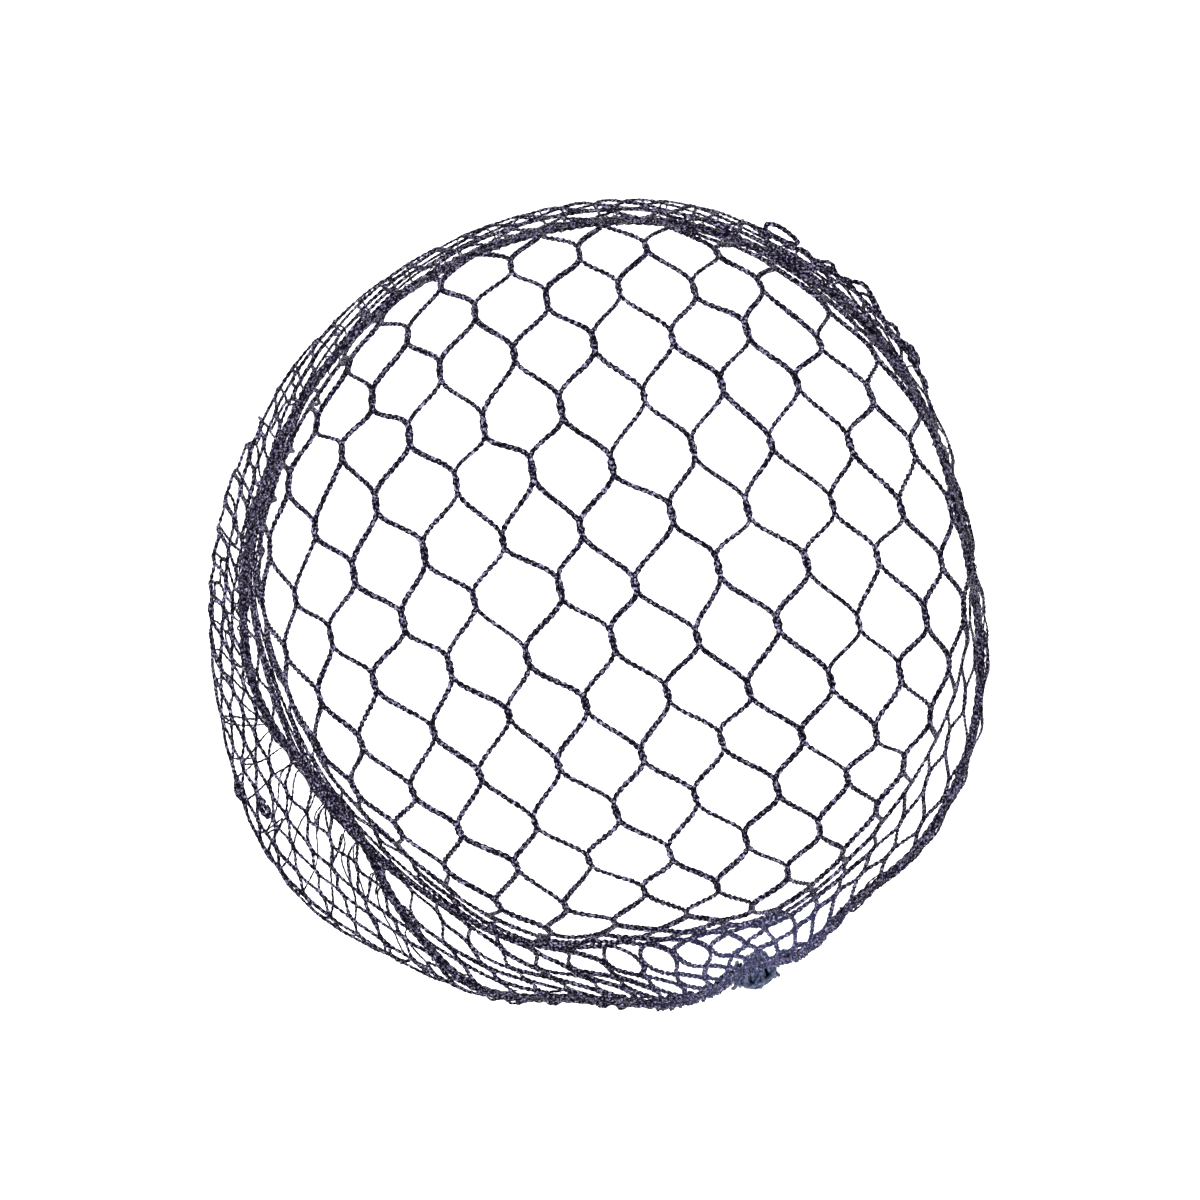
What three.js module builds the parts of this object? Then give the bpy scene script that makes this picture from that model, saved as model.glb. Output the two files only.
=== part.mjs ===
// A fine hair net for a bun, in the form that it has while worn: a flattened front, a crease,
// a wider tier near the head, and a gathered elastic edge tied with a knot at the lower right.
// Millimetres. +Z runs along the bun, away from the head. +Y is up and +X is the viewer's right.

import * as THREE from 'three';
import { mergeVertices } from 'three/addons/utils/BufferGeometryUtils.js';

// Driving dimensions
const NET_WALL = 0.9; // the cords, measured through the wall of the net
const SINGLE_CORD = 0.9; // one chain of stitches
const DOUBLE_CORD = 1.4; // two chains side by side, as in each bar
const FRONT_WIDTH = 74.0; // the front tier at its widest
const FRONT_HEIGHT = 72.4;
const BASE_RADIUS = 41.4; // the tier near the head, before its bulges
const CLEARANCE = 0.3; // between two pieces that lie against each other

// The knitted mesh, laid out flat. A bar is where two chains run side by side.
const MESH_WIDTH = 8.03; // from one bar to the next in a row
const ROW_PITCH = 5.92; // from one row of bars to the next
const ROW_SLOPE = 7.2; // degrees that the rows climb to the right
const CHAIN_LEAN = 12.6; // degrees that the chains lean from upright, to the lower right
const BAR_HALF = 0.23; // half a bar's length, as a share of the row pitch
const MESH_START = { x: 2.17, y: -1.82 }; // the bar nearest the middle of the front
const FRONT_REACH = 35.4; // meshes with their middle inside this distance are cut through
const CORNER_CUT = 0.26; // how much of each gap's side its rounded corners take

// How far the bun drags the mesh out of straight, in mm for each step across or down, or two.
const DRAGS = [
  { across: 2, down: 0, x: 0.0104, y: -0.0202 },
  { across: 1, down: 1, x: 0.0272, y: -0.0073 },
  { across: 0, down: 2, x: 0.0398, y: 0.0684 },
];
const DRAG_FADE = 52; // the distance from the middle where the drag dies away

// One line from the middle of the front to the edge. base is the share of the outline that
// comes from the tier near the head, and tuck is the share of the draw of the elastic.
const MERIDIAN = [
  { place: 'apex', radius: 0, height: 46.0, base: 0, tuck: 0 },
  { place: 'crown', radius: 10, height: 45.6, base: 0, tuck: 0 },
  { place: 'brow', radius: 18, height: 44.2, base: 0, tuck: 0 },
  { place: 'slope', radius: 25, height: 41.6, base: 0, tuck: 0 },
  { place: 'upper shoulder', radius: 31, height: 37.4, base: 0, tuck: 0 },
  { place: 'shoulder', radius: 35, height: 32.6, base: 0, tuck: 0 },
  { place: 'widest front', radius: 36.8, height: 27.6, base: 0, tuck: 0 },
  { place: 'under the front', radius: 36.6, height: 23.0, base: 0.1, tuck: 0 },
  { place: 'crease', radius: 37.6, height: 18.6, base: 0.35, tuck: 0 },
  { place: 'out of the crease', radius: 39.4, height: 14.6, base: 0.75, tuck: 0 },
  { place: 'bulge', radius: BASE_RADIUS, height: 10.0, base: 1, tuck: 0 },
  { place: 'lower bulge', radius: BASE_RADIUS, height: 6.4, base: 1, tuck: 0.45 },
  { place: 'hem', radius: BASE_RADIUS, height: 2.2, base: 1, tuck: 1 },
];

// Where the tier near the head stands out or in: at and spread in degrees, swell in mm, and
// the swell that is left at the hem, which the elastic draws to a rounder outline.
const BULGES = [
  { side: 'right', at: 12, swell: -3.6, hem: -3.2, spread: 28 },
  { side: 'top', at: 80, swell: 0.9, hem: 0.8, spread: 20 },
  { side: 'left', at: 180, swell: 0.8, hem: 0, spread: 30 },
  { side: 'lower left', at: 223, swell: 3.6, hem: 0.6, spread: 22 },
  { side: 'left of the bottom', at: 251, swell: 1.1, hem: 1.8, spread: 10 },
  { side: 'bottom', at: 281, swell: 1.2, hem: 1.2, spread: 12 },
  { side: 'knot', at: 291, swell: -2.0, hem: -2.9, spread: 7 },
  { side: 'beside the knot', at: 297, swell: 0.8, hem: 0.8, spread: 5 },
  { side: 'lower right', at: 310, swell: -1.0, hem: -1.0, spread: 8 },
];

// How far the elastic draws the edge in: all round, and how much further at two sides
const TUCK_ALL_ROUND = 0.4;
const TUCKS = [
  { side: 'left', at: 175, further: 1.6, spread: 45 },
  { side: 'lower left', at: 218, further: 5.2, spread: 18 },
];

// Ridges of bunched cords, flat sides of the front, and where the crease is shallower: along is
// the distance from the apex, and spread is in degrees.
const RIDGES = [
  { ridge: 'in the crease at the left', along: 51.0, width: 1.7, lift: 0.9, at: 205, spread: 55 },
  { ridge: 'along the bottom', along: 55.5, width: 1.7, lift: 0.7, at: 262, spread: 38 },
  { ridge: 'behind the top', along: 56.0, width: 2.2, lift: 0.6, at: 78, spread: 42 },
  { ridge: 'flat of the front, right', along: 47.0, width: 9.0, lift: -1.5, at: 5, spread: 62 },
  { ridge: 'full front at the top', along: 47.0, width: 9.0, lift: 0.5, at: 90, spread: 16 },
  { ridge: 'flat of the front, lower left', along: 47.0, width: 9.0, lift: -2.3, at: 213, spread: 33 },
  { ridge: 'flat of the front, bottom', along: 47.0, width: 9.0, lift: -1.4, at: 277, spread: 13 },
  { ridge: 'flat of the front, upper left', along: 47.0, width: 9.0, lift: -1.4, at: 153, spread: 24 },
  { ridge: 'less crease at the lower right', along: 51.0, width: 5.5, lift: 0.9, at: 315, spread: 54 },
  { ridge: 'less crease at the top', along: 51.0, width: 5.5, lift: 0.9, at: 68, spread: 70 },
];

// The side tier: rings of corners between the front meshes and the hem, by distance from the
// apex. The long meshes are cut between the last two zigzag rings, and their sides bend over
// the bulge, leaning there by some degrees.
const RING_CORNERS = 72;
const PLAIN_RINGS = [43.2, 46.5, 49.2, 51, 52.8, 55.5, 57.8];
const SIDE_MESH = { top: 60.4, bend: 64.6, bottom: 68.4, zigzag: 0.9, lean: 0.4 };

// The elastic edge and its knot
const ELASTIC_THICK = 1.6;
const ELASTIC_SIDES = 8;
const PUCKERS = 36; // folds of the hem on the elastic
const PUCKER_DEPTH = 0.12; // as a share of the elastic's thickness
const PLEAT = { from: 43, full: 60, lift: 0.4 }; // the same folds, running up the side
const KNOT = { azimuth: 291, radial: 1.4, tangential: 2.3, vertical: 1.9, height: 2.6 };
const KNOT_CORDS = { turns: 4, slant: 1.2, ridge: 0.09 }; // wound round the knot
const KNOT_SEGMENTS = { round: 24, along: 14 };

// How the knot draws the mesh round towards it, from a distance from the apex down to the hem
const GATHER = { azimuth: 291, from: 36, pull: 0.58, spread: 85 };

const netCord = new THREE.MeshStandardMaterial({ color: 0x2b2a3a, roughness: 0.55, metalness: 0 });
const elasticCover = new THREE.MeshStandardMaterial({ color: 0x23232f, roughness: 0.75, metalness: 0 });
const knotCord = new THREE.MeshStandardMaterial({ color: 0x3b4258, roughness: 0.6, metalness: 0 });

const degrees = THREE.MathUtils.degToRad;

// The turn from one azimuth to another, in degrees, the short way round
function turnFrom(start, azimuth) {
  return THREE.MathUtils.euclideanModulo(azimuth - start + 180, 360) - 180;
}

function frontRadius(azimuth) {
  const across = Math.cos(degrees(azimuth)) / (FRONT_WIDTH / 2);
  const upright = Math.sin(degrees(azimuth)) / (FRONT_HEIGHT / 2);
  return 1 / Math.hypot(across, upright);
}

function baseRadius(azimuth, tuck) {
  let radius = BASE_RADIUS;
  for (const { at, swell, hem, spread } of BULGES) {
    const left = THREE.MathUtils.lerp(swell, hem, tuck);
    radius += left * Math.exp(-((turnFrom(at, azimuth) / spread) ** 2));
  }
  return radius;
}

function tuckDepth(azimuth) {
  let depth = TUCK_ALL_ROUND;
  for (const { at, further, spread } of TUCKS) {
    depth += further * Math.exp(-((turnFrom(at, azimuth) / spread) ** 2));
  }
  return depth;
}

function ridgeLift(along, azimuth) {
  let lift = 0;
  for (const ridge of RIDGES) {
    const beside = ((along - ridge.along) / ridge.width) ** 2;
    const past = (turnFrom(ridge.at, azimuth) / ridge.spread) ** 4;
    lift += ridge.lift * Math.exp(-beside - past);
  }
  return lift;
}

const meridian = new THREE.SplineCurve(MERIDIAN.map((row) => new THREE.Vector2(row.radius, row.height)));
meridian.arcLengthDivisions = 600;
const NET_LENGTH = meridian.getLength();
const WIDEST_FRONT = MERIDIAN.find((row) => row.place === 'widest front').radius;

// A point of the net's middle surface, at a distance from the apex and an azimuth in degrees,
// lifted outwards by a fold
function surfacePoint(along, azimuth, lift) {
  const share = THREE.MathUtils.clamp(along / NET_LENGTH, 0, 1);
  const stretch = meridian.getUtoTmapping(share);
  const { x: radius, y: height } = meridian.getPoint(stretch);
  const row = Math.min(Math.floor(stretch * (MERIDIAN.length - 1)), MERIDIAN.length - 2);
  const between = stretch * (MERIDIAN.length - 1) - row;
  const base = THREE.MathUtils.lerp(MERIDIAN[row].base, MERIDIAN[row + 1].base, between);
  const tuck = THREE.MathUtils.lerp(MERIDIAN[row].tuck, MERIDIAN[row + 1].tuck, between);
  const front = frontRadius(azimuth) / WIDEST_FRONT;
  const outline = THREE.MathUtils.lerp(front, baseRadius(azimuth, tuck) / BASE_RADIUS, base);
  const reach = radius * outline - tuck * tuckDepth(azimuth) + ridgeLift(along, azimuth) + lift;
  return new THREE.Vector3(
    reach * Math.cos(degrees(azimuth)),
    reach * Math.sin(degrees(azimuth)),
    height,
  );
}

function gathered(along, azimuth) {
  const turn = turnFrom(GATHER.azimuth, azimuth);
  const depth = THREE.MathUtils.smoothstep(along, GATHER.from, NET_LENGTH);
  return azimuth - turn * GATHER.pull * depth * Math.exp(-((turn / GATHER.spread) ** 2));
}

// A flat place of the mesh, wrapped on the bun
function wrapped(x, y) {
  const along = Math.hypot(x, y);
  const azimuth = THREE.MathUtils.radToDeg(Math.atan2(y, x));
  const drawnUp = THREE.MathUtils.smoothstep(along, PLEAT.from, PLEAT.full);
  const pleat = PLEAT.lift * drawnUp * Math.cos(degrees(PUCKERS * azimuth));
  return surfacePoint(along, gathered(along, azimuth), pleat);
}

function wrappedNormal(x, y) {
  const step = NET_WALL / 20;
  const eastward = wrapped(x + step, y).sub(wrapped(x - step, y));
  const northward = wrapped(x, y + step).sub(wrapped(x, y - step));
  return eastward.cross(northward).normalize();
}

// A place of the knitted mesh, laid flat, counted in half meshes across and rows down
function knitted(across, down) {
  const acrossWay = new THREE.Vector2(Math.cos(degrees(ROW_SLOPE)), Math.sin(degrees(ROW_SLOPE)));
  const downWay = new THREE.Vector2(Math.sin(degrees(CHAIN_LEAN)), -Math.cos(degrees(CHAIN_LEAN)));
  const place = new THREE.Vector2(MESH_START.x, MESH_START.y);
  place.addScaledVector(acrossWay, (across * MESH_WIDTH) / 2);
  place.addScaledVector(downWay, down * ROW_PITCH);
  const fade = Math.exp(-((place.length() / DRAG_FADE) ** 6));
  for (const drag of DRAGS) {
    const steps = across ** drag.across * down ** drag.down;
    place.add(new THREE.Vector2(drag.x, drag.y).multiplyScalar(steps * fade));
  }
  return place;
}

// The net is drawn as a flat pattern of corners and triangles, then wrapped and thickened.
class Pattern {
  constructor() {
    this.places = [];
    this.triangles = [];
    this.named = new Map();
  }

  corner(place, name) {
    if (name !== undefined && this.named.has(name)) {
      return this.named.get(name);
    }
    this.places.push(place);
    if (name !== undefined) {
      this.named.set(name, this.places.length - 1);
    }
    return this.places.length - 1;
  }

  // Each triangle runs counterclockwise as seen from the front
  triangle(a, b, c) {
    const [first, second, third] = [a, b, c].map((corner) => this.places[corner]);
    const turn = (second.x - first.x) * (third.y - first.y) - (second.y - first.y) * (third.x - first.x);
    this.triangles.push(turn > 0 ? [a, b, c] : [a, c, b]);
  }

  // Fills between a mesh's corners and its gap
  pierce(corners, gap) {
    const rim = gap.map((place) => this.corner(place));
    const all = [...corners, ...rim];
    const outline = corners.map((corner) => this.places[corner]);
    for (const [a, b, c] of THREE.ShapeUtils.triangulateShape(outline, [gap])) {
      this.triangle(all[a], all[b], all[c]);
    }
  }

  // Fills between two closed loops, stepping along whichever gives the shorter side
  join(inner, outer) {
    let start = 0;
    outer.forEach((corner, index) => {
      const isNearer = this.distance(inner[0], corner) < this.distance(inner[0], outer[start]);
      start = isNearer ? index : start;
    });
    let inward = 0;
    let outward = 0;
    while (inward < inner.length || outward < outer.length) {
      const near = inner[inward % inner.length];
      const nearNext = inner[(inward + 1) % inner.length];
      const far = outer[(start + outward) % outer.length];
      const farNext = outer[(start + outward + 1) % outer.length];
      const innerLeft = inward < inner.length;
      const outerLeft = outward < outer.length;
      const innerIsShorter = this.distance(nearNext, far) < this.distance(near, farNext);
      if (innerLeft && (!outerLeft || innerIsShorter)) {
        this.triangle(near, nearNext, far);
        inward += 1;
      } else {
        this.triangle(near, far, farNext);
        outward += 1;
      }
    }
  }

  distance(a, b) {
    return this.places[a].distanceTo(this.places[b]);
  }

  // The sides that only one triangle uses, round every gap and round the outside
  edgeSides() {
    const used = new Set(this.triangles.flatMap(([a, b, c]) => [`${a} ${b}`, `${b} ${c}`, `${c} ${a}`]));
    return [...used].map((side) => side.split(' ').map(Number)).filter(([a, b]) => !used.has(`${b} ${a}`));
  }

  outerLoop() {
    const next = new Map(this.edgeSides());
    let farthest = 0;
    this.places.forEach((place, corner) => {
      farthest = place.length() > this.places[farthest].length() ? corner : farthest;
    });
    const loop = [farthest];
    while (next.get(loop.at(-1)) !== farthest) {
      loop.push(next.get(loop.at(-1)));
    }
    return loop;
  }

  // Wraps the pattern on the bun and gives it a wall, open at every gap
  wrap(wall) {
    const outside = [];
    const inside = [];
    for (const { x, y } of this.places) {
      const middle = wrapped(x, y);
      const half = wrappedNormal(x, y).multiplyScalar(wall / 2);
      outside.push(...middle.clone().add(half).toArray());
      inside.push(...middle.clone().sub(half).toArray());
    }
    const count = this.places.length;
    const faces = this.triangles.flatMap(([a, b, c]) => [a, b, c, count + a, count + c, count + b]);
    for (const [a, b] of this.edgeSides()) {
      faces.push(b, a, count + a, b, count + a, count + b);
    }
    const geometry = new THREE.BufferGeometry();
    geometry.setAttribute('position', new THREE.Float32BufferAttribute([...outside, ...inside], 3));
    geometry.setIndex(faces);
    return geometry;
  }
}

// A gap with rounded corners, its sides set in from a mesh's sides by half a cord each
function gapInside(outline, halfCords) {
  const count = outline.length;
  const sides = outline.map((from, index) => {
    const way = outline[(index + 1) % count].clone().sub(from).normalize();
    const inward = new THREE.Vector2(way.y, -way.x);
    return { from: from.clone().addScaledVector(inward, halfCords[index]), way };
  });
  const corners = sides.map((side, index) => {
    const before = sides[(index + count - 1) % count];
    const apart = side.from.clone().sub(before.from);
    const reach = apart.cross(side.way) / before.way.cross(side.way);
    return before.from.clone().addScaledVector(before.way, reach);
  });
  return corners.flatMap((corner, index) => [
    corner.clone().lerp(corners[(index + count - 1) % count], CORNER_CUT),
    corner.clone().lerp(corners[(index + 1) % count], CORNER_CUT),
  ]);
}

// The front: meshes of the knitted net, each between two bars, clockwise from its top corner
function addFront(pattern) {
  const halfSingle = SINGLE_CORD / 2;
  const halfDouble = DOUBLE_CORD / 2;
  const halfCords = [halfSingle, halfDouble, halfSingle, halfSingle, halfDouble, halfSingle];
  const most = 2 * Math.ceil(FRONT_REACH / ROW_PITCH);
  for (let down = -most; down <= most; down += 1) {
    for (let across = -most; across <= most; across += 1) {
      const isMesh = (across + down) % 2 !== 0;
      if (isMesh && knitted(across, down).length() < FRONT_REACH) {
        const bars = [[0, -1, 1], [1, 0, -1], [1, 0, 1], [0, 1, -1], [-1, 0, 1], [-1, 0, -1]];
        const corners = bars.map(([right, below, end]) => {
          const [column, row] = [across + right, down + below];
          return pattern.corner(knitted(column, row + end * BAR_HALF), `${column} ${row} ${end}`);
        });
        const outline = corners.map((corner) => pattern.places[corner]);
        pattern.pierce(corners, gapInside(outline, halfCords));
      }
    }
  }
}

// A ring of corners round the side, every second one lifted by the zigzag
function addRing(pattern, along, zigzag) {
  return Array.from({ length: RING_CORNERS }, (_, index) => {
    const turn = (2 * Math.PI * index) / RING_CORNERS;
    const reach = along + (index % 2 ? zigzag : -zigzag);
    return pattern.corner(new THREE.Vector2(reach * Math.cos(turn), reach * Math.sin(turn)));
  });
}

// Where a long side bends over the bulge, between its ends
function bendPlace(above, below) {
  const place = above.clone().lerp(below, 0.5).setLength(SIDE_MESH.bend);
  return place.rotateAround(new THREE.Vector2(), degrees(SIDE_MESH.lean));
}

// The side: bunched cords down to the wide tier, one ring of long meshes, and the hem
function addSide(pattern, frontLoop) {
  const widthShare = SIDE_MESH.top / BASE_RADIUS; // flat, the side is wider than on the bun
  const halfUpright = (DOUBLE_CORD / 2) * widthShare;
  const halfAcross = SINGLE_CORD / 2;
  const halfCords = [halfAcross, halfUpright, halfAcross, halfAcross, halfUpright, halfAcross];
  let last = frontLoop;
  for (const along of PLAIN_RINGS) {
    const ring = addRing(pattern, along, 0);
    pattern.join(last, ring);
    last = ring;
  }
  const top = addRing(pattern, SIDE_MESH.top, SIDE_MESH.zigzag);
  const bottom = addRing(pattern, SIDE_MESH.bottom, -SIDE_MESH.zigzag);
  pattern.join(last, top);
  for (let index = 0; index < RING_CORNERS; index += 2) {
    const [first, middle, second] = [index + 1, index + 2, index + 3].map((step) => step % RING_CORNERS);
    const corners = [top[middle], top[second], bottom[second], bottom[middle], bottom[first], top[first]];
    const outline = corners.map((corner) => pattern.places[corner]);
    const gap = gapInside(outline, halfCords);
    gap.splice(10, 0, bendPlace(gap[9], gap[10]));
    gap.splice(4, 0, bendPlace(gap[3], gap[4]));
    const [rightBend, leftBend] = [second, first].map((side) => {
      const place = bendPlace(pattern.places[top[side]], pattern.places[bottom[side]]);
      return pattern.corner(place, `bend ${side}`);
    });
    corners.splice(5, 0, leftBend);
    corners.splice(2, 0, rightBend);
    pattern.pierce(corners, gap);
  }
  pattern.join(bottom, addRing(pattern, NET_LENGTH, 0));
}

function makeNet() {
  const pattern = new Pattern();
  addFront(pattern);
  addSide(pattern, pattern.outerLoop());
  const net = new THREE.Mesh(pattern.wrap(NET_WALL), netCord);
  net.name = 'net';
  return net;
}

// The elastic follows the hem below its edge, thicker at each fold that is drawn up on it
function makeElasticEdge() {
  const thick = ELASTIC_THICK / 2;
  const section = Array.from({ length: ELASTIC_SIDES + 1 }, (_, side) => {
    const turn = (2 * Math.PI * side) / ELASTIC_SIDES;
    return new THREE.Vector2(BASE_RADIUS + thick * Math.cos(turn), thick * Math.sin(turn));
  });
  const ring = new THREE.LatheGeometry(section, 2 * PUCKERS).rotateX(Math.PI / 2);
  ring.deleteAttribute('normal');
  ring.deleteAttribute('uv');
  const geometry = mergeVertices(ring, 0.001);
  const place = geometry.attributes.position;
  for (let index = 0; index < place.count; index += 1) {
    const azimuth = THREE.MathUtils.radToDeg(Math.atan2(place.getY(index), place.getX(index)));
    const pucker = 1 + PUCKER_DEPTH * (Math.cos(degrees(azimuth * PUCKERS)) - 1);
    const outward = (Math.hypot(place.getX(index), place.getY(index)) - BASE_RADIUS) * pucker;
    const hem = surfacePoint(NET_LENGTH, azimuth, 0);
    const reach = Math.hypot(hem.x, hem.y) + outward;
    const height = thick + place.getZ(index) * pucker;
    place.setXYZ(index, reach * Math.cos(degrees(azimuth)), reach * Math.sin(degrees(azimuth)), height);
  }
  const elastic = new THREE.Mesh(geometry, elasticCover);
  elastic.name = 'elastic_edge';
  return elastic;
}

// The knot lies outside the elastic, wound with the cords that it draws together
function makeGatherKnot() {
  const ball = new THREE.SphereGeometry(1, KNOT_SEGMENTS.round, KNOT_SEGMENTS.along);
  ball.deleteAttribute('normal');
  ball.deleteAttribute('uv');
  const geometry = mergeVertices(ball, 0.0001);
  const place = geometry.attributes.position;
  for (let index = 0; index < place.count; index += 1) {
    const point = new THREE.Vector3().fromBufferAttribute(place, index);
    const turn = Math.atan2(point.z, point.x);
    const wound = Math.cos(KNOT_CORDS.turns * (turn + point.y * KNOT_CORDS.slant));
    const ridge = 1 - KNOT_CORDS.ridge * (1 + wound);
    place.setXYZ(index, point.x * ridge, point.y, point.z * ridge);
  }
  geometry.rotateX(Math.PI / 2);
  geometry.scale(KNOT.radial, KNOT.tangential, KNOT.vertical);
  const knot = new THREE.Mesh(geometry, knotCord);
  const hem = surfacePoint(NET_LENGTH, KNOT.azimuth, 0);
  const outward = Math.hypot(hem.x, hem.y) + ELASTIC_THICK / 2 + CLEARANCE + KNOT.radial;
  const toKnot = degrees(KNOT.azimuth);
  knot.position.set(outward * Math.cos(toKnot), outward * Math.sin(toKnot), KNOT.height);
  knot.rotation.z = toKnot;
  knot.name = 'gather_knot';
  return knot;
}

const hairNet = new THREE.Group();
hairNet.add(makeNet(), makeElasticEdge(), makeGatherKnot());

export default hairNet;
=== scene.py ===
# A fine hair net in the form that it has while worn: the knitted net, the elastic that its hem is
# drawn up on, and the knot that closes the elastic. Metres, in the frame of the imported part.
import math
import random

import bmesh
import bpy
import numpy as np
from mathutils import Matrix, Vector


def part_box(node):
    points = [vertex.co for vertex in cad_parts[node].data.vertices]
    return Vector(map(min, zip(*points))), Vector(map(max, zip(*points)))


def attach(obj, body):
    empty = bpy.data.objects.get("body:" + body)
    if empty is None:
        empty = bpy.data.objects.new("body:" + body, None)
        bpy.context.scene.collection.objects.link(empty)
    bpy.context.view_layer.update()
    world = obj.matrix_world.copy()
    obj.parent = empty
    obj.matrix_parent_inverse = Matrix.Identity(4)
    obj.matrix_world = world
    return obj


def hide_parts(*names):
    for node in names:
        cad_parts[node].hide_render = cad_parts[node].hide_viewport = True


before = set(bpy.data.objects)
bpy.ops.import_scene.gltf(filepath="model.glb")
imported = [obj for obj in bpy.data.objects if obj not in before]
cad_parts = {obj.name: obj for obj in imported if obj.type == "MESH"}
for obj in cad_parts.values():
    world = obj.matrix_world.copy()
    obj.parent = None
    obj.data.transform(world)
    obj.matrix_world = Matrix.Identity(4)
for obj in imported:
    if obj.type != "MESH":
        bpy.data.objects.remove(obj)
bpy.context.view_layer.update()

# Camera
# The photograph looks almost straight down on the front of the net, a little from below. The
# front of the net fills 740 of the 1200 pixels.
CAMERA_TILT = math.radians(6)
CAMERA_DISTANCE = 0.520
CAMERA_AIM = (-0.00156, 0.00093, 0.0001)
PIXELS_PER_RADIAN = 4902
PHOTO_SIDE = 1200
SENSOR_WIDTH = 36  # millimetres
NEAREST_SEEN = 0.01

camera_data = bpy.data.cameras.new("camera")
camera_data.sensor_width = SENSOR_WIDTH
camera_data.lens = SENSOR_WIDTH * PIXELS_PER_RADIAN / PHOTO_SIDE
camera_data.clip_start = NEAREST_SEEN
camera = bpy.data.objects.new("camera", camera_data)
camera.rotation_euler = (CAMERA_TILT, 0, 0)
camera.location = (
    CAMERA_AIM[0],
    CAMERA_AIM[1] - CAMERA_DISTANCE * math.sin(CAMERA_TILT),
    CAMERA_AIM[2] + CAMERA_DISTANCE * math.cos(CAMERA_TILT),
)
bpy.context.collection.objects.link(camera)
bpy.context.scene.camera = camera

# Floor and studio light
# A plain white floor well below the net, which is held up in its worn form, and wide soft lights,
# so that the floor stays white and no shadow is sharp.
FLOOR_BELOW = 0.12
FLOOR_HALF = 3.0
FLOOR_WHITE = (0.97, 0.97, 0.97, 1)
STUDIO_GLOW = 0.45
LIGHTS = [  # name, place, size, watts
    ("key", (-0.50, 0.55, 0.85), 0.4, 17.0),
    ("fill", (0.65, -0.25, 0.80), 0.6, 8.0),
    ("front", (-0.10, -0.65, 0.75), 0.5, 8.0),
]

floor_mesh = bpy.data.meshes.new("floor")
floor_sheet = bmesh.new()
floor_place = Matrix.Translation((0, 0, -FLOOR_BELOW))
bmesh.ops.create_grid(floor_sheet, x_segments=1, y_segments=1, size=FLOOR_HALF, matrix=floor_place)
floor_sheet.to_mesh(floor_mesh)
floor_sheet.free()
floor = bpy.data.objects.new("floor", floor_mesh)
bpy.context.collection.objects.link(floor)

floor_paint = bpy.data.materials.new("floor_paint")
floor_paint.use_nodes = True
floor_shader = floor_paint.node_tree.nodes["Principled BSDF"]
floor_shader.inputs["Base Color"].default_value = FLOOR_WHITE
floor_shader.inputs["Roughness"].default_value = 0.9
floor_mesh.materials.append(floor_paint)

studio = bpy.data.worlds.new("studio")
studio.use_nodes = True
glow = studio.node_tree.nodes["Background"]
glow.inputs["Color"].default_value = (1, 1, 1, 1)
glow.inputs["Strength"].default_value = STUDIO_GLOW
bpy.context.scene.world = studio
bpy.context.scene.view_settings.view_transform = "Standard"

for name, place, size, watts in LIGHTS:
    lamp = bpy.data.lights.new(name, "AREA")
    lamp.size = size
    lamp.energy = watts
    light = bpy.data.objects.new(name, lamp)
    light.location = place
    light.rotation_euler = Vector(place).to_track_quat("Z", "Y").to_euler()
    bpy.context.collection.objects.link(light)

# Net
# One warp-knitted piece of black nylon. Each chain of stitches runs zigzag from the top to the
# bottom, and pairs with the chain on its right and the one on its left in turn.

# The worn form has a rounded front, a crease behind it and a wider tier down to the hem. Azimuths
# and their spreads are in degrees, anticlockwise from the right.
KNOT_AT = 291
FRONT_WIDTH = 0.0740
FRONT_HEIGHT = 0.0724
BASE_RADIUS = 0.0414
MERIDIAN = [  # place, radius, height, share of the base's outline, share of the tuck
    ("apex", 0.0, 0.0460, 0, 0),
    ("crown", 0.0100, 0.0456, 0, 0),
    ("brow", 0.0180, 0.0442, 0, 0),
    ("slope", 0.0250, 0.0416, 0, 0),
    ("upper shoulder", 0.0310, 0.0374, 0, 0),
    ("shoulder", 0.0350, 0.0326, 0, 0),
    ("widest front", 0.0368, 0.0276, 0, 0),
    ("under the front", 0.0366, 0.0230, 0.1, 0),
    ("crease", 0.0376, 0.0186, 0.35, 0),
    ("out of the crease", 0.0394, 0.0146, 0.75, 0),
    ("bulge", BASE_RADIUS, 0.0100, 1, 0),
    ("lower bulge", BASE_RADIUS, 0.0064, 1, 0.45),
    ("hem", BASE_RADIUS, 0.0022, 1, 1),
]
MERIDIAN_STEPS = 40
BULGES = [  # side, at, swell, swell at the hem, spread
    ("right", 12, -0.0036, -0.0032, 28),
    ("top", 80, 0.0009, 0.0008, 20),
    ("left", 180, 0.0008, 0, 30),
    ("lower left", 223, 0.0036, 0.0006, 22),
    ("left of the bottom", 251, 0.0011, 0.0018, 10),
    ("bottom", 281, 0.0012, 0.0012, 12),
    ("knot", KNOT_AT, -0.0012, -0.0013, 7),
    ("beside the knot", 297, 0.0008, 0.0008, 5),
    ("lower right", 310, -0.0010, -0.0010, 8),
]
RIDGES = [  # ridge or flat of the form, distance from the apex, width, lift, at, spread
    ("in the crease at the left", 0.0510, 0.0017, 0.0009, 205, 55),
    ("along the bottom", 0.0555, 0.0017, 0.0007, 262, 38),
    ("behind the top", 0.0560, 0.0022, 0.0006, 78, 42),
    ("flat of the front, right", 0.0470, 0.0090, -0.0015, 5, 62),
    ("full front at the top", 0.0470, 0.0090, 0.0005, 90, 16),
    ("flat of the front, lower left", 0.0470, 0.0090, -0.0023, 213, 33),
    ("flat of the front, bottom", 0.0470, 0.0090, -0.0014, 277, 13),
    ("flat of the front, upper left", 0.0470, 0.0090, -0.0014, 153, 24),
    ("less crease at the lower right", 0.0510, 0.0055, 0.0009, 315, 54),
    ("less crease at the top", 0.0510, 0.0055, 0.0009, 68, 70),
]
TUCK_ALL_ROUND = 0.0004
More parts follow.
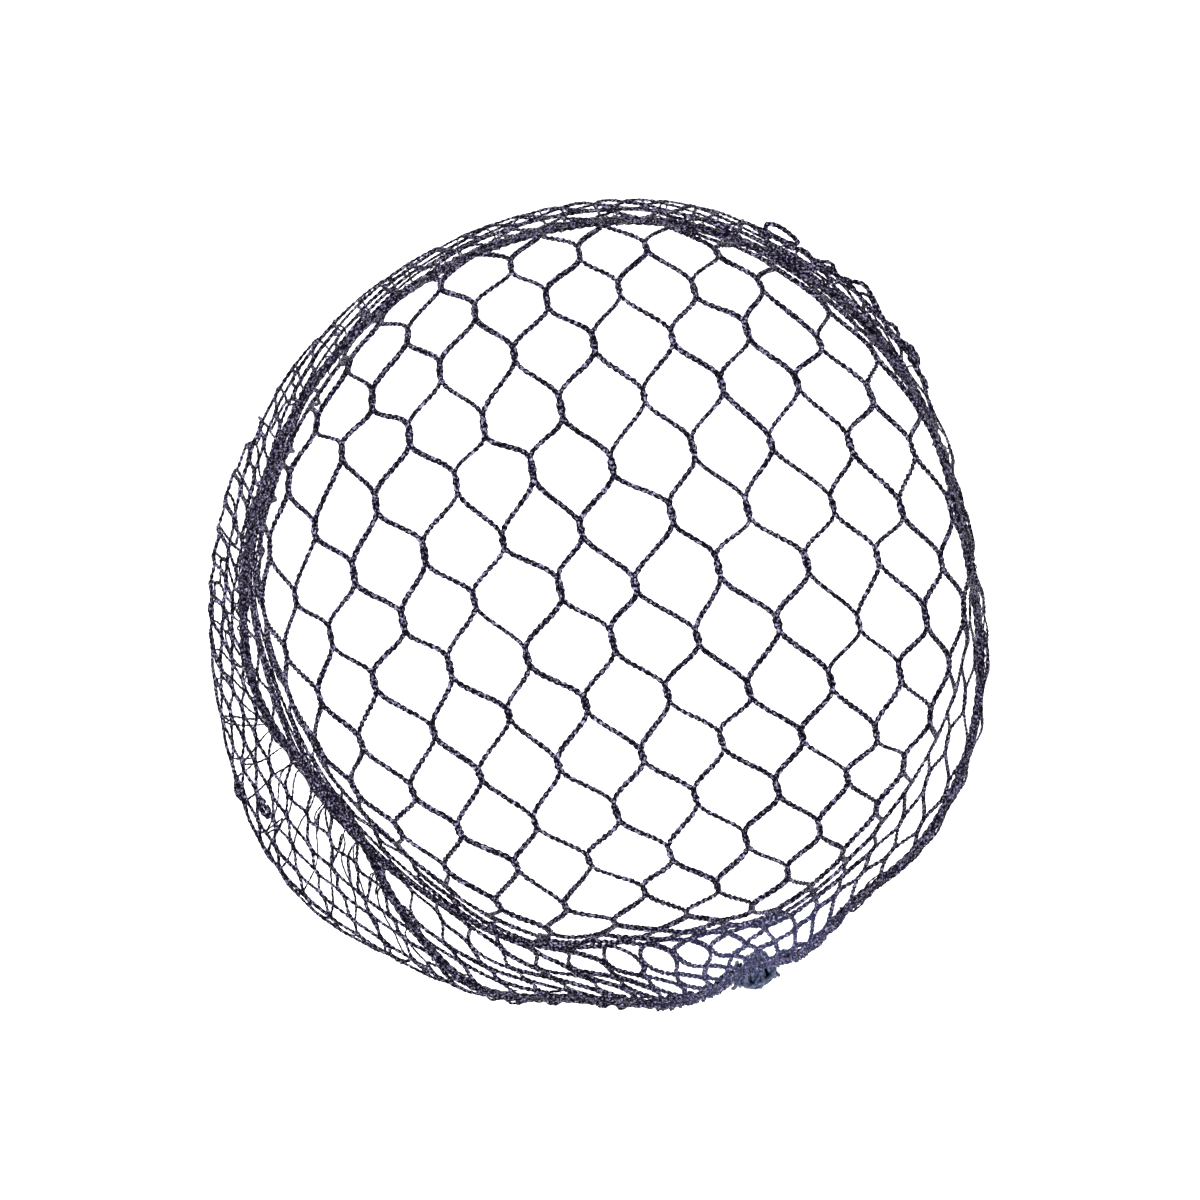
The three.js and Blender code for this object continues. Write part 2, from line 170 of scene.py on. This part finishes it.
TUCKS = [  # side where the hem lies further in, at, how much, spread
    ("left", 175, 0.0016, 45),
    ("lower left", 218, 0.0052, 18),
]


def turn_from(start, azimuth):
    return (azimuth - start + 180) % 360 - 180


def through_rows(rows, steps):
    """A smooth line through the rows, with that many steps from one to the next."""
    rows = np.asarray(rows, float)
    before, after = np.vstack([rows[:1], rows[:-1]]), np.vstack([rows[1:], rows[-1:]])
    slopes = (after - before) / 2
    t = np.arange(steps)[:, None] / steps
    parts = []
    for i in range(len(rows) - 1):
        start, end, go, come = rows[i], rows[i + 1], slopes[i], slopes[i + 1]
        parts.append(
            (2 * start - 2 * end + go + come) * t**3
            + (3 * end - 3 * start - 2 * go - come) * t**2
            + go * t
            + start
        )
    parts.append(rows[-1:])
    return np.vstack(parts)


def lengths(points):
    """How far along a line each of its points lies."""
    steps = np.linalg.norm(np.diff(points, axis=0), axis=1)
    return np.concatenate([[0], np.cumsum(steps)])


meridian = through_rows([row[1:] for row in MERIDIAN], MERIDIAN_STEPS)
meridian_along = lengths(meridian[:, :2])
widest_front = next(row[1] for row in MERIDIAN if row[0] == "widest front")
NET_LENGTH = meridian_along[-1]


def base_radius(azimuth, tuck):
    radius = BASE_RADIUS - tuck * TUCK_ALL_ROUND
    for _side, at, further, spread in TUCKS:
        radius = radius - tuck * further * np.exp(-((turn_from(at, azimuth) / spread) ** 2))
    for _side, at, swell, at_hem, spread in BULGES:
        left = swell + (at_hem - swell) * tuck
        radius += left * np.exp(-((turn_from(at, azimuth) / spread) ** 2))
    return radius


def surface(along, azimuth):
    """A place on the middle of the net's wall, by distance from the apex and azimuth."""
    radius, height, base, tuck = (
        np.interp(along, meridian_along, meridian[:, column]) for column in range(4)
    )
    turn = np.radians(azimuth)
    front_radius = 1 / np.hypot(np.cos(turn) * 2 / FRONT_WIDTH, np.sin(turn) * 2 / FRONT_HEIGHT)
    front = front_radius / widest_front
    reach = radius * ((1 - base) * front + base * base_radius(azimuth, tuck) / BASE_RADIUS)
    for _ridge, distance, width, lift, at, spread in RIDGES:
        beside = ((along - distance) / width) ** 2
        reach += lift * np.exp(-beside - (turn_from(at, azimuth) / spread) ** 4)
    return np.stack([reach * np.cos(turn), reach * np.sin(turn), height], axis=-1)


# How much of the flat net lies within each distance from the apex. Where there is more net than
# form, the chains bunch up, in the crease and in the tier.
FABRIC = [  # distance on the form, flat distance at the bottom, at the left, at the top, at the right
    (0.0000, 0.0000, 0.0000, 0.0000, 0.0000),
    (0.0420, 0.0420, 0.0420, 0.0420, 0.0420),
    (0.0475, 0.0480, 0.0485, 0.0465, 0.0465),
    (0.0495, 0.0505, 0.0510, 0.0480, 0.0480),
    (0.0520, 0.0690, 0.0760, 0.0510, 0.0510),
    (0.0560, 0.0760, 0.0850, 0.0580, 0.0540),
    (0.0640, 0.0960, 0.1180, 0.0900, 0.0630),
    (0.0737, 0.1010, 0.1240, 0.0960, 0.0700),
    (0.0937, 0.1210, 0.1440, 0.1160, 0.0900),
]
FABRIC_SIDES = [(207, 45), (105, 60), (4, 52)]  # at the left, at the top, at the right: at, spread
GATHERS = [  # drawn round towards, from, pull, spread clockwise, spread the other way
    (KNOT_AT, 0.046, 0.50, 62, 45),
    (KNOT_AT, 0.052, 0.50, 30, 24),
    (80, 0.046, 0.25, 55, 60),
    (200, 0.0635, 0.55, 35, 60),
]
BUNCHES = 44  # round the hem
BUNCHES_FROM = 0.0615
BUNCHES_PULL = 1.1  # degrees
BUNCHES_UNEVEN = 1.5  # radians
BUNCHES_UNEVEN_TIMES = 3  # round the hem
ELASTIC_THICK = 0.0016
WRAP_RADIUS = 0.00074
WRAP_START = 0.6  # radians above the outer side of the elastic
WRAP_ONSET = 0.0006
WRAP_LEAN = 0.8  # towards the knot, as a share of the way past the hem
LEAN_EASE = 12  # degrees either side of the knot
OUTWARD_STEP = 0.00004


def polar(flat):
    """The distance from the apex and the azimuth of flat places."""
    return np.hypot(flat[:, 0], flat[:, 1]), np.degrees(np.arctan2(flat[:, 1], flat[:, 0]))


def unit(ways):
    return ways / np.maximum(np.linalg.norm(ways, axis=1, keepdims=True), 1e-12)


def eased(value, low, high):
    share = np.clip((value - low) / (high - low), 0, 1)
    return share * share * (3 - 2 * share)


def side_shares(azimuth):
    """How much an azimuth belongs to the bottom of the net and to each of its other sides."""
    shares = []
    rest = np.ones_like(azimuth)
    for at, spread in FABRIC_SIDES:
        shares.append(rest * np.exp(-((turn_from(at, azimuth) / spread) ** 4)))
        rest = rest - shares[-1]
    return [rest, *shares]


def drawn(flat_along, azimuth):
    """How far from the apex a flat distance comes to lie, which differs from side to side."""
    fabric = np.array(FABRIC)
    return sum(
        share * np.interp(flat_along, fabric[:, side + 1], fabric[:, 0])
        for side, share in enumerate(side_shares(azimuth))
    )


def wrapped(flat):
    """Lays flat places of the net on the worn form, and past the hem round the elastic."""
    flat_along, azimuth = polar(flat)
    along = drawn(flat_along, azimuth)
    for at, start, pull, spread_before, spread_after in GATHERS:
        turn = turn_from(at, azimuth)
        spread = np.where(turn < 0, spread_before, spread_after)
        depth = eased(along, start, NET_LENGTH)
        azimuth = azimuth - turn * pull * depth * np.exp(-((turn / spread) ** 2))
    uneven = BUNCHES_UNEVEN * np.sin(np.radians(BUNCHES_UNEVEN_TIMES * azimuth))
    bunched = eased(along, BUNCHES_FROM, NET_LENGTH) * np.sin(np.radians(BUNCHES * azimuth) + uneven)
    azimuth = azimuth - BUNCHES_PULL * bunched
    place = surface(np.minimum(along, NET_LENGTH), azimuth)
    past = np.maximum(along - NET_LENGTH, 0)
    around = past / WRAP_RADIUS - WRAP_START
    leaning = np.tanh(turn_from(KNOT_AT, azimuth) / LEAN_EASE)
    azimuth = azimuth - np.degrees(past * WRAP_LEAN / BASE_RADIUS) * leaning
    turn = np.radians(azimuth)
    outward = np.stack([np.cos(turn), np.sin(turn), np.zeros_like(turn)], axis=-1)
    wrap = surface(np.full_like(azimuth, NET_LENGTH), azimuth)
    wrap[:, 2] = ELASTIC_THICK / 2
    wrap += outward * (WRAP_RADIUS * np.cos(around))[:, None]
    wrap[:, 2] -= WRAP_RADIUS * np.sin(around)
    onto = eased(past, 0, WRAP_ONSET)[:, None]
    return place * (1 - onto) + wrap * onto


def outward_way(flat):
    east = wrapped(flat + (OUTWARD_STEP, 0)) - wrapped(flat - (OUTWARD_STEP, 0))
    north = wrapped(flat + (0, OUTWARD_STEP)) - wrapped(flat - (0, OUTWARD_STEP))
    return unit(np.cross(east, north))


# The flat net. A bar is where two chains run side by side, and each chain swings from the bar on
# its left to the one on its right. The drags are where the front is pulled out of the even grid.
MESH_WIDTH = 0.00803
ROW_PITCH = 0.00592
ROW_SLOPE = math.radians(7.2)
CHAIN_LEAN = math.radians(12.6)
BAR_HALF = 0.23  # of a row
BAR_SLIP = 0.05
BAR_LONGER = (-0.04, 0.05)
MESH_START = (0.00217, -0.00182)
DRAGS = [  # steps across, steps down, x, y
    (2, 0, 0.0000104, -0.0000202),
    (1, 1, 0.0000272, -0.0000073),
    (0, 2, 0.0000398, 0.0000684),
]
DRAG_FADE = 0.052
CHAIN_APART = 0.00054
CHAIN_COLUMNS = 42  # either side of the middle
CHAIN_ROWS = 28
SPAN_STEPS = 10
LOOSE = random.Random(7)


def knitted(across, down):
    """A flat place of the net, counted in half meshes across and rows down."""
    aside = across * MESH_WIDTH / 2
    drop = down * ROW_PITCH
    x = MESH_START[0] + aside * math.cos(ROW_SLOPE) + drop * math.sin(CHAIN_LEAN)
    y = MESH_START[1] + aside * math.sin(ROW_SLOPE) - drop * math.cos(CHAIN_LEAN)
    fade = math.exp(-((math.hypot(x, y) / DRAG_FADE) ** 6))
    for across_power, down_power, drag_x, drag_y in DRAGS:
        steps = across**across_power * down**down_power * fade
        x += drag_x * steps
        y += drag_y * steps
    return x, y


bar_slips = {}


def bar_slip(column, row):
    """How far one bar lies out of the even pattern: across, down, and longer or shorter."""
    if (column, row) not in bar_slips:
        slips = (LOOSE.gauss(0, BAR_SLIP), LOOSE.gauss(0, BAR_SLIP), LOOSE.uniform(*BAR_LONGER))
        bar_slips[column, row] = slips
    return bar_slips[column, row]


def chain_line(column):
    """The flat line of one chain and how far aside of it the chain lies in its bars."""
    places = []
    for row in range(-CHAIN_ROWS, CHAIN_ROWS + 1):
        on_left_bar = (column + row) % 2 == 0
        bar = column if on_left_bar else column + 1
        aside = CHAIN_APART / 2 if on_left_bar else -CHAIN_APART / 2
        slip_across, slip_down, longer = bar_slip(bar, row)
        for end in (-1, 1):
            down = row + slip_down + end * (BAR_HALF + longer)
            places.append((*knitted(bar + slip_across, down), aside))
    return through_rows(places, SPAN_STEPS)


# One chain: three filaments that cross over each other at every stitch.
FILAMENT = 0.00031
CHAIN_FILAMENTS = 3
CHAIN_LAY = 0.0022
LAY_STEPS = 9
LAY_LOOSE = (0.8, 1.15)
LAY_TWIST = 0.35  # radians from one lay to the next
CHAIN_HALF_WIDTH = 0.00018
CHAIN_HALF_DEPTH = 0.00011
LOOK_AHEAD = 0.0001
DRAWN_THIN = [(0.34, 0.0425, 0.0470), (0.24, 0.0620, 0.0660)]  # share, from, to
THIN_AT_HEM = 0.3
HEM_BAND = 0.002


def thickness(flat):
    """How thick the chains are, as a share: but for the bottom, they are drawn thin at the side."""
    flat_along, azimuth = polar(flat)
    along = drawn(flat_along, azimuth)
    thinner = sum(share * eased(along, start, end) for share, start, end in DRAWN_THIN)
    thinner = thinner * (1 - side_shares(azimuth)[0])
    return (1 - thinner) * (1 - THIN_AT_HEM * eased(along, NET_LENGTH - HEM_BAND, NET_LENGTH))


def read_off(line, along, places):
    """The places or ways that a line has at the given distances along it."""
    return np.stack([np.interp(places, along, line[:, i]) for i in range(3)], axis=-1)


def stitched(points, aside, outward, thick):
    """The filaments of a chain of stitches along a line, each crossing over the other two."""
    along = lengths(points)
    count = int(along[-1] / CHAIN_LAY * LAY_STEPS)
    if count < LAY_STEPS:
        return []
    places = np.arange(count) * CHAIN_LAY / LAY_STEPS
    lays = np.arange(count // LAY_STEPS + 2) * CHAIN_LAY
    loose = np.interp(places, lays, [LOOSE.uniform(*LAY_LOOSE) for _ in lays])
    twist = np.interp(places, lays, np.cumsum([LOOSE.gauss(0, LAY_TWIST) for _ in lays]))
    centre = read_off(points, along, places)
    ahead = read_off(points, along, places + LOOK_AHEAD)
    behind = read_off(points, along, places - LOOK_AHEAD)
    out = read_off(outward, along, places)
    side = unit(np.cross(out, ahead - behind))
    thick = np.interp(places, along, thick)
    beside = np.interp(places, along, aside) * thick
    loose = loose * thick
    filaments = []
    for start in range(CHAIN_FILAMENTS):
        turn = 2 * math.pi * (places / CHAIN_LAY + start / CHAIN_FILAMENTS)
        left = CHAIN_HALF_WIDTH * loose * np.sin(turn)
        up = CHAIN_HALF_DEPTH * loose * np.sin(2 * turn)
        across = beside + left * np.cos(twist) - up * np.sin(twist)
        lifted = left * np.sin(twist) + up * np.cos(twist)
        filament = centre + side * across[:, None] + out * lifted[:, None]
        filaments.append(np.column_stack([filament, thick]))
    return filaments


# Where the chains run along the hem, the outermost bends are tied to the elastic by short loops.
HEM_WRAP = 0.0022
HEM_WRAP_MORE_AT_BOTTOM = 0.0024
SHORTEST_PART = 3 * SPAN_STEPS
LOOPED_FROM = NET_LENGTH - 0.0100
LOOPED_TO = NET_LENGTH - 0.0004
LOOP_HALF = 0.0010
LOOP_CLEAR = 1.4  # degrees without another chain further out
LOOP_FURTHER_OUT = 0.0010
LOOP_STEPS = 40
FLAT_OUT_TO = 0.16
FLAT_STEPS = 400

chains = []
chain_places = []
for column in range(-CHAIN_COLUMNS, CHAIN_COLUMNS + 1):
    line = chain_line(column)
    flat_along, azimuth = polar(line)
    along = drawn(flat_along, azimuth)
    inside = along < NET_LENGTH + HEM_WRAP + HEM_WRAP_MORE_AT_BOTTOM * side_shares(azimuth)[0]
    starts = np.flatnonzero(inside & ~np.concatenate([[False], inside[:-1]]))
    ends = np.flatnonzero(inside & ~np.concatenate([inside[1:], [False]]))
    for start, end in zip(starts, ends + 1):
        if end - start > SHORTEST_PART:
            flat = line[start:end, :2]
            chains += stitched(wrapped(flat), line[start:end, 2], outward_way(flat), thickness(flat))
            chain_places.append(np.column_stack([flat, azimuth[start:end], along[start:end]]))

net_places = np.vstack(chain_places)
for places in chain_places:
    along = places[:, 3]
    bends = 1 + np.flatnonzero((along[1:-1] >= along[:-2]) & (along[1:-1] > along[2:]))
    for x, y, azimuth, bend_along in places[bends]:
        beside = np.abs(turn_from(azimuth, net_places[:, 2])) < LOOP_CLEAR
        outermost = net_places[beside, 3].max() < bend_along + LOOP_FURTHER_OUT
        if outermost and LOOPED_FROM < bend_along < LOOPED_TO:
            flat_along = np.linspace(math.hypot(x, y), FLAT_OUT_TO, FLAT_STEPS)
            comes_to = drawn(flat_along, np.full_like(flat_along, azimuth))
            loop_along = np.linspace(bend_along, NET_LENGTH + HEM_WRAP, LOOP_STEPS)
            reach = np.interp(loop_along, comes_to, flat_along)[:, None]
            for side in (-1, 1):
                opening = np.linspace(0, math.degrees(LOOP_HALF / BASE_RADIUS), LOOP_STEPS)
                turn = np.radians(azimuth + side * opening)
                flat = reach * np.column_stack([np.cos(turn), np.sin(turn)])
                aside = np.zeros(LOOP_STEPS)
                chains += stitched(wrapped(flat), aside, outward_way(flat), thickness(flat))

# Net, elastic and knot are dark, with painted highlights: fine flecks of a light glint colour are
# painted into the base colour between their dark filaments.
cord_colour_and_painted_glints = bpy.data.node_groups.new("cord_colour_and_painted_glints", "ShaderNodeTree")
for name, kind in (
    ("Fineness", "NodeSocketFloat"),
    ("Dark", "NodeSocketColor"),
    ("Dark Up To", "NodeSocketFloat"),
    ("Glint", "NodeSocketColor"),
    ("Glint From", "NodeSocketFloat"),
):
    cord_colour_and_painted_glints.interface.new_socket(name, in_out="INPUT", socket_type=kind)
cord_colour_and_painted_glints.interface.new_socket("Color", in_out="OUTPUT", socket_type="NodeSocketColor")
cord_colour_and_painted_glints.interface.new_socket("Height", in_out="OUTPUT", socket_type="NodeSocketFloat")
given = cord_colour_and_painted_glints.nodes.new("NodeGroupInput")
made = cord_colour_and_painted_glints.nodes.new("NodeGroupOutput")
place = cord_colour_and_painted_glints.nodes.new("ShaderNodeTexCoord")
painted_glint_and_bump_noise = cord_colour_and_painted_glints.nodes.new("ShaderNodeTexNoise")
# Where the noise runs high, the painted highlight colour takes the place of the dark.
glint = cord_colour_and_painted_glints.nodes.new("ShaderNodeMapRange")
shade = cord_colour_and_painted_glints.nodes.new("ShaderNodeMix")
shade.data_type = "RGBA"
cord_colour_and_painted_glints.links.new(place.outputs["Object"], painted_glint_and_bump_noise.inputs["Vector"])
cord_colour_and_painted_glints.links.new(given.outputs["Fineness"], painted_glint_and_bump_noise.inputs["Scale"])
cord_colour_and_painted_glints.links.new(painted_glint_and_bump_noise.outputs["Fac"], glint.inputs["Value"])
cord_colour_and_painted_glints.links.new(given.outputs["Dark Up To"], glint.inputs["From Min"])
cord_colour_and_painted_glints.links.new(given.outputs["Glint From"], glint.inputs["From Max"])
cord_colour_and_painted_glints.links.new(glint.outputs["Result"], shade.inputs["Factor"])
cord_colour_and_painted_glints.links.new(given.outputs["Dark"], shade.inputs["A"])
cord_colour_and_painted_glints.links.new(given.outputs["Glint"], shade.inputs["B"])
cord_colour_and_painted_glints.links.new(shade.outputs["Result"], made.inputs["Color"])
cord_colour_and_painted_glints.links.new(painted_glint_and_bump_noise.outputs["Fac"], made.inputs["Height"])


def cord_with_painted_glints(name, dark_and_painted_glints, roughness, specular):
    """A cord's material: its dark colour, with painted highlights in fine flecks."""
    material = bpy.data.materials.new(name)
    material.use_nodes = True
    tree = material.node_tree
    shader = tree.nodes["Principled BSDF"]
    shader.inputs["Roughness"].default_value = roughness
    shader.inputs["Specular IOR Level"].default_value = specular
    node = tree.nodes.new("ShaderNodeGroup")
    node.name = "Dark and Painted Glints"
    node.node_tree = cord_colour_and_painted_glints
    for socket, value in dark_and_painted_glints.items():
        node.inputs[socket].default_value = value
    tree.links.new(node.outputs["Color"], shader.inputs["Base Color"])
    return material


# The dark is the nylon's own colour. The glint colour is a painted highlight.
NYLON_DARK_AND_PAINTED_GLINTS = {
    "Fineness": 3800,
    "Dark": (0.002, 0.0012, 0.005, 1),
    "Dark Up To": 0.54,
    "Glint": (0.29, 0.26, 0.41, 1),
    "Glint From": 0.68,
}
# Close to the knot, a bluish tone is added to the net's cord colour, fading out with the distance from
# the knot.
BLUISH = (0.022, 0.027, 0.064, 1)
BLUISH_AT = (0.0129, -0.0343, 0.0118)
BLUISH_REACH = 0.0140
BLUISH_FULL = 0.4  # of the reach

net_nylon = cord_with_painted_glints("net_nylon", NYLON_DARK_AND_PAINTED_GLINTS, roughness=0.4, specular=0.03)
tree = net_nylon.node_tree
dark_and_painted_glints = tree.nodes["Dark and Painted Glints"]
place = tree.nodes.new("ShaderNodeTexCoord")
from_knot = tree.nodes.new("ShaderNodeVectorMath")
from_knot.operation = "DISTANCE"
from_knot.inputs[1].default_value = BLUISH_AT
near_knot = tree.nodes.new("ShaderNodeMapRange")
near_knot.inputs["From Min"].default_value = BLUISH_REACH
near_knot.inputs["From Max"].default_value = BLUISH_REACH * BLUISH_FULL
bluish = tree.nodes.new("ShaderNodeMix")
bluish.data_type = "RGBA"
bluish.blend_type = "ADD"
bluish.inputs["B"].default_value = BLUISH
tree.links.new(place.outputs["Object"], from_knot.inputs[0])
tree.links.new(from_knot.outputs["Value"], near_knot.inputs["Value"])
tree.links.new(near_knot.outputs["Result"], bluish.inputs["Factor"])
tree.links.new(dark_and_painted_glints.outputs["Color"], bluish.inputs["A"])
tree.links.new(bluish.outputs["Result"], tree.nodes["Principled BSDF"].inputs["Base Color"])


def thread_piece(name, lines, thick, material, sides=0):
    """One piece of thread: a tube along each line, whose rows are a place and maybe a share."""
    curve = bpy.data.curves.new(name, "CURVE")
    curve.dimensions = "3D"
    curve.bevel_depth = thick / 2
    curve.bevel_resolution = sides
    curve.use_fill_caps = True
    for points in lines:
        spline = curve.splines.new("POLY")
        spline.points.add(len(points) - 1)
        spline.points.foreach_set("co", np.column_stack([points[:, :3], np.ones(len(points))]).ravel())
        if points.shape[1] == 4:
            spline.points.foreach_set("radius", np.ascontiguousarray(points[:, 3]))
    curve.materials.append(material)
    piece = bpy.data.objects.new(name, curve)
    bpy.context.collection.objects.link(piece)
    return piece


# The net is split into pieces of like size, from its left to its right.
NET_PIECES = 6

chains.sort(key=lambda points: points[:, 0].mean())
piece_points = sum(len(points) for points in chains) / NET_PIECES
groups = [[] for _ in range(NET_PIECES)]
points_before = 0
for points in chains:
    groups[min(int(points_before / piece_points), NET_PIECES - 1)].append(points)
    points_before += len(points)
for index, group in enumerate(groups):
    piece = thread_piece(f"net_chains_{index + 1}", group, FILAMENT, net_nylon)
    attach(piece, "root")
    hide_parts("net")

# Slack loops
# A few loops and strands of chain stand off the edge where the net isn't drawn tight, at the
# upper right and at the left.
SLACK_LOOPS = [  # azimuth, distance from the apex, width, reach
    (65.5, 0.0630, 0.0038, 0.0010),
    (39.0, 0.0640, 0.0014, 0.0007),
    (207.0, 0.0640, 0.0018, 0.0006),
    (210.5, 0.0655, 0.0022, 0.0006),
]
SLACK_LOOP_POINTS = 40
SLACK_LOOP_FOOT = 0.8
SLACK_LOOP_RISE = 0.0006
SLACK_STRANDS = [  # from azimuth, to azimuth, distance from the apex, reach, waves
    (34.0, 63.0, 0.0625, 0.0006, 4.3),
    (37.0, 60.0, 0.0640, 0.0003, 6.2),
    (41.0, 70.0, 0.0615, 0.0002, 5.1),
]
SLACK_STRAND_POINTS = 120
SLACK_STRAND_RISE = 0.0004
SLACK_SWAY_DRIFT = 2.5  # radians
SLACK_SWAY_PACE = 7
SLACK_THICK = 0.9  # of a chain at the front

loops = []
for azimuth, along, width, reach in SLACK_LOOPS:
    t = np.linspace(-0.5 * math.pi, 1.5 * math.pi, SLACK_LOOP_POINTS)
    azimuths = azimuth + np.degrees(width / 2 * np.cos(t) / BASE_RADIUS)
    off_edge = reach * (np.sin(t) + SLACK_LOOP_FOOT) / (1 + SLACK_LOOP_FOOT)
    loops.append((along, azimuths, off_edge, SLACK_LOOP_RISE * np.sin(2 * t)))
for start, end, along, reach, waves in SLACK_STRANDS:
    t = np.linspace(0, 1, SLACK_STRAND_POINTS)
    sway = np.sin(2 * math.pi * waves * t + SLACK_SWAY_DRIFT * np.sin(SLACK_SWAY_PACE * t))
    off_edge = reach * (1 + sway) * np.sin(math.pi * t)
    loops.append((along, start + (end - start) * t, off_edge, SLACK_STRAND_RISE * sway))
threads = []
for along, azimuths, off_edge, rise in loops:
    line = surface(np.full_like(azimuths, along), azimuths)
    line += unit(line * (1, 1, 0)) * off_edge[:, None]
    line[:, 2] += rise
    upward = np.tile((0, 0, 1.0), (len(line), 1))
    threads += stitched(line, np.zeros(len(line)), upward, np.full(len(line), SLACK_THICK))
piece = thread_piece("net_slack_loops", threads, FILAMENT, net_nylon)
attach(piece, "root")
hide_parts("net")

# Elastic edge
# A round elastic of three covered strands, twisted. The last row of the net is looped on it.
ELASTIC_STRANDS = 3
ELASTIC_STRAND = 0.00052
ELASTIC_TWIST = 0.00028
ELASTIC_LAY = 0.0031
ELASTIC_POINTS = 961
# The dark is the elastic cover's own colour. The glint colour is a painted highlight.
COVER_DARK_AND_PAINTED_GLINTS = {
    "Fineness": 3000,
    "Dark": (0.003, 0.002, 0.006, 1),
    "Dark Up To": 0.5,
    "Glint": (0.20, 0.18, 0.29, 1),
    "Glint From": 0.72,
}

elastic_cover = cord_with_painted_glints("elastic_cover", COVER_DARK_AND_PAINTED_GLINTS, roughness=0.7, specular=0.03)
tree = elastic_cover.node_tree
bump = tree.nodes.new("ShaderNodeBump")
bump.inputs["Strength"].default_value = 0.6
bump.inputs["Distance"].default_value = 0.00005
tree.links.new(tree.nodes["Dark and Painted Glints"].outputs["Height"], bump.inputs["Height"])
tree.links.new(bump.outputs["Normal"], tree.nodes["Principled BSDF"].inputs["Normal"])

azimuths = np.linspace(0, 360, ELASTIC_POINTS)
hem = surface(np.full_like(azimuths, NET_LENGTH), azimuths)
hem[:, 2] = ELASTIC_THICK / 2
out = unit(hem * (1, 1, 0))
hem_along = lengths(hem)
lays = round(hem_along[-1] / ELASTIC_LAY)
strands = []
for start in range(ELASTIC_STRANDS):
    twist = 2 * math.pi * (hem_along / hem_along[-1] * lays + start / ELASTIC_STRANDS)
    strand = hem + out * (ELASTIC_TWIST * np.cos(twist))[:, None]
    strand[:, 2] += ELASTIC_TWIST * np.sin(twist)
    strands.append(strand)
piece = thread_piece("elastic_edge_strands", strands, ELASTIC_STRAND, elastic_cover, sides=1)
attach(piece, "root")
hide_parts("elastic_edge")

# Gather knot
# The ends of the elastic are tied here in a ball of bluish cord, and a few turns of the cord
# bind the bunched net to the elastic.
KNOT_STRAND = 0.00045
KNOT_HALF = (0.0021, 0.0015, 0.0016)  # along the edge, outwards, up
KNOT_WINDINGS = 14
WINDING_POINTS = 73
WINDING_SWAY = 0.5
WINDING_SWAY_START = 6.3  # radians at most
WINDING_SIZE = (0.75, 1.0)  # of the knot
BINDING_TURNS = 8
BINDING_POINTS = 301
BINDING_HALF = 0.0022
BINDING_ASTRAY = 0.16  # of the half
BINDING_OUT = (0.0003, 0.0019)  # middle, from the elastic outwards, and radius
BINDING_UP = (0.0020, 0.0024)
BINDING_TAPER = 0.35
BINDING_SIZE = (0.7, 1.05)
KNOT_LOOSE = random.Random(4)
# The glint colour is a painted highlight.
KNOT_DARK_AND_PAINTED_GLINTS = {
    "Fineness": 2600,
    "Dark": (0.016, 0.023, 0.054, 1),
    "Dark Up To": 0.46,
    "Glint": (0.11, 0.138, 0.25, 1),
    "Glint From": 0.72,
}

knot_low, knot_high = (np.array(corner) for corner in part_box("gather_knot"))
knot_middle = (knot_low + knot_high) / 2
turn = math.radians(KNOT_AT)
knot_out = np.array([math.cos(turn), math.sin(turn), 0])
knot_side = np.array([-math.sin(turn), math.cos(turn), 0])
knot_up = np.array([0, 0, 1.0])

knot_lines = []
t = np.linspace(0, 2 * math.pi, WINDING_POINTS)
for _ in range(KNOT_WINDINGS):
    pole = Vector([KNOT_LOOSE.gauss(0, 1) for _ in range(3)]).normalized()
    first = pole.orthogonal().normalized()
    second = pole.cross(first)
    sway = KNOT_LOOSE.uniform(0, WINDING_SWAY)
    sway = sway * np.sin(t + KNOT_LOOSE.uniform(0, WINDING_SWAY_START))
    ring = np.outer(np.cos(t), first) + np.outer(np.sin(t), second) + np.outer(sway, pole)
    ring *= KNOT_LOOSE.uniform(*WINDING_SIZE) / np.linalg.norm(ring, axis=1, keepdims=True)
    across, outward, upright = (ring * KNOT_HALF).T
    knot_lines.append(
        knot_middle
        + knot_side * across[:, None]
        + knot_up * upright[:, None]
        + knot_out * outward[:, None]
    )

t = np.linspace(0, 1, BINDING_POINTS)
halves = np.linspace(0, 1, 2 * BINDING_TURNS + 1)
aside = t * 2 - 1 + np.interp(t, halves, [KNOT_LOOSE.gauss(0, BINDING_ASTRAY) for _ in halves])
azimuths = KNOT_AT + np.degrees(aside * BINDING_HALF / BASE_RADIUS)
bound = surface(np.full_like(azimuths, NET_LENGTH), azimuths)
wind = 2 * math.pi * BINDING_TURNS * t
sizes = [KNOT_LOOSE.uniform(*BINDING_SIZE) for _ in halves]
swell = (1 - BINDING_TAPER * aside**2) * np.interp(t, halves, sizes)
bound += knot_out * (BINDING_OUT[0] + BINDING_OUT[1] * swell * np.cos(wind))[:, None]
bound[:, 2] = BINDING_UP[0] + BINDING_UP[1] * swell * np.sin(wind)
knot_lines.append(bound)

knot_cord = cord_with_painted_glints("knot_cord", KNOT_DARK_AND_PAINTED_GLINTS, roughness=0.5, specular=0.3)
piece = thread_piece("gather_knot_cords", knot_lines, KNOT_STRAND, knot_cord, sides=1)
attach(piece, "root")
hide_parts("gather_knot")
